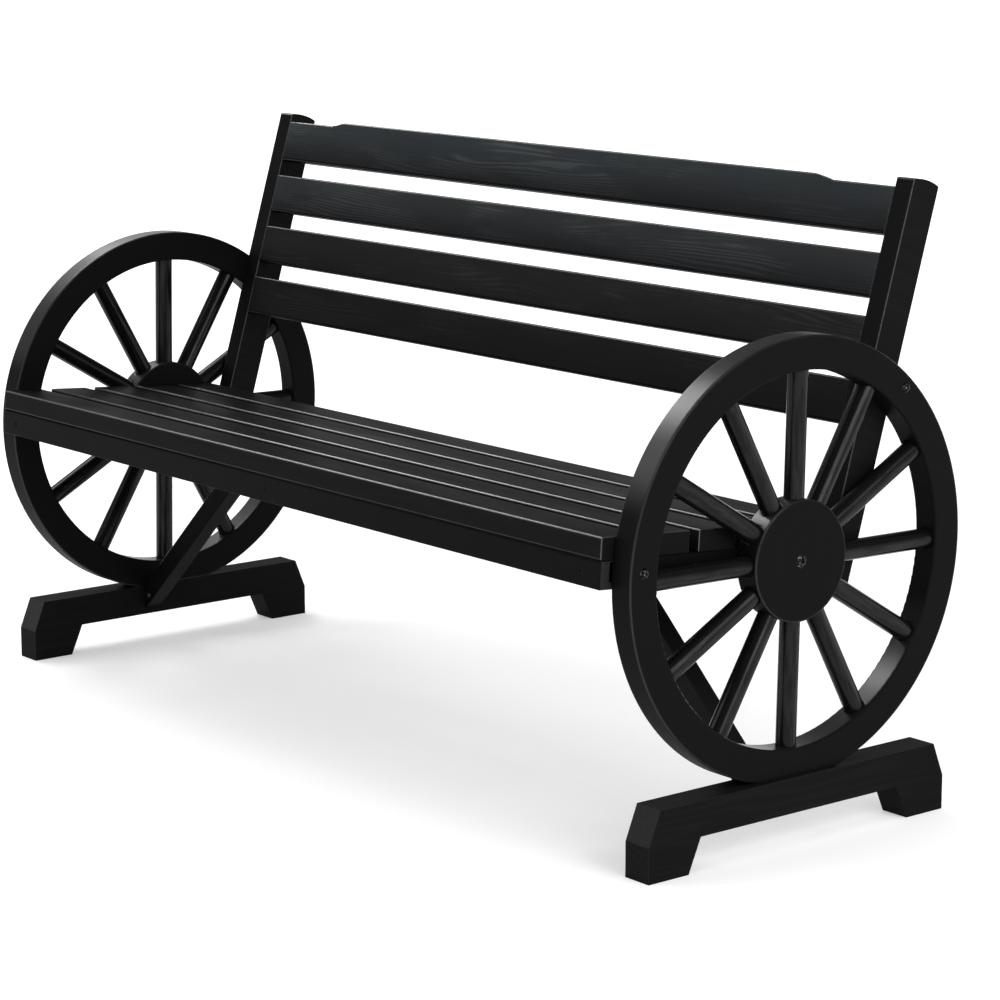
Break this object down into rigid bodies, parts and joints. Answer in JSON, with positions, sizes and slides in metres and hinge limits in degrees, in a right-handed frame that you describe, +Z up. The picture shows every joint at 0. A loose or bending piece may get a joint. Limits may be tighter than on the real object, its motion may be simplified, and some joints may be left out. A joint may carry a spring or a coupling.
{
  "type": "wagon wheel bench",
  "caption": "Slatted wooden garden bench held between spoked wagon wheels that stand on arched foot beams.",
  "frame": {"origin": "on the floor, midway between the bench's ends and midway from its front edge to its wheels' rear", "axes": "+X along the bench to its right end as seen from the front, +Y to the back, +Z up"},
  "size_m": [1.459, 0.5781, 0.8158],
  "materials": {
    "black_painted_wood": "satin black paint over softwood",
    "steel_fasteners": "black zinc plated steel"
  },
  "bodies": {
    "root": {"left_foot_beam": "black_painted_wood", "right_foot_beam": "black_painted_wood", "left_rim": "black_painted_wood", "right_rim": "black_painted_wood", "left_spokes": "black_painted_wood", "right_spokes": "black_painted_wood", "left_hub": "black_painted_wood", "right_hub": "black_painted_wood", "seat_slat_1": "black_painted_wood", "seat_slat_2": "black_painted_wood", "seat_slat_3": "black_painted_wood", "seat_slat_4": "black_painted_wood", "seat_slat_5": "black_painted_wood", "front_apron": "black_painted_wood", "left_side_bearer": "black_painted_wood", "left_brace_bearer": "black_painted_wood", "middle_bearer": "black_painted_wood", "right_brace_bearer": "black_painted_wood", "right_side_bearer": "black_painted_wood", "left_brace": "black_painted_wood", "right_brace": "black_painted_wood", "left_back_post": "black_painted_wood", "right_back_post": "black_painted_wood", "back_slat_1": "black_painted_wood", "back_slat_2": "black_painted_wood", "back_slat_3": "black_painted_wood", "back_slat_4": "black_painted_wood", "hub_bolts": "steel_fasteners", "rim_bolts": "steel_fasteners", "barrel_nuts": "steel_fasteners", "seat_screws": "steel_fasteners", "apron_screws": "steel_fasteners", "post_screws": "steel_fasteners", "brace_screws": "steel_fasteners", "foot_screws": "steel_fasteners"}
  },
  "joints": []
}
